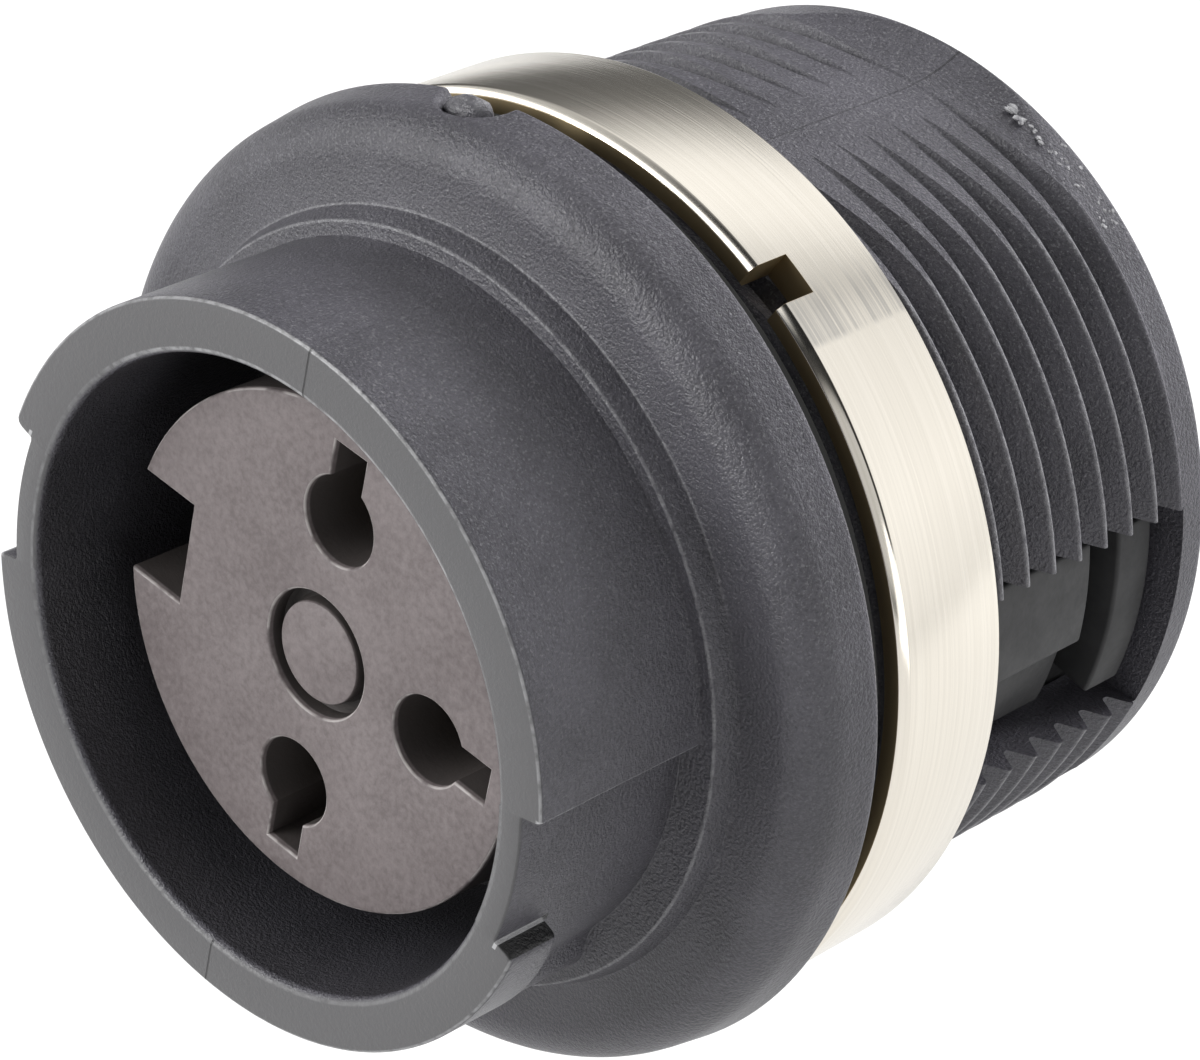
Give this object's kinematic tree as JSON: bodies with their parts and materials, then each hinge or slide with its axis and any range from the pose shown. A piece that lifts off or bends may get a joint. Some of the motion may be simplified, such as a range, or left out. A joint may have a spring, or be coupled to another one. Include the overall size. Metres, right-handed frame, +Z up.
{
  "type": "circular connector",
  "caption": "Panel-mount circular power connector socket with a bayonet collar, a threaded barrel with side windows, a notched ring nut and a moulded insert with socket contacts.",
  "frame": {"origin": "centre of the flange's rear face, the face that seats on the panel", "axes": "Y along the connector's axis with the mating face towards -Y and the threaded barrel towards +Y; Z up, through the mould flats and the upper and lower contacts"},
  "size_m": [0.0246, 0.0219, 0.0246],
  "materials": {
    "shell_plastic": "fine spark-eroded texture",
    "nickel_plated_brass": "turned and nickel plated",
    "seal_rubber": "matt",
    "insert_plastic": "matt moulded",
    "retainer_plastic": "smooth moulded",
    "contact_metal": "turned and plated"
  },
  "bodies": {
    "shell": {"housing": "shell_plastic", "flange_seal": "seal_rubber", "contact_insert": "insert_plastic", "insert_retainer": "retainer_plastic", "contact_top": "contact_metal", "contact_side": "contact_metal", "contact_bottom": "contact_metal"},
    "nut": {"ring_nut": "nickel_plated_brass"}
  },
  "joints": [
    {"name": "nut_turn", "type": "hinge", "parent": "shell", "child": "nut", "pos_m": [0, 0.00317, 0], "axis": [0, 1, 0], "continuous": true}
  ]
}
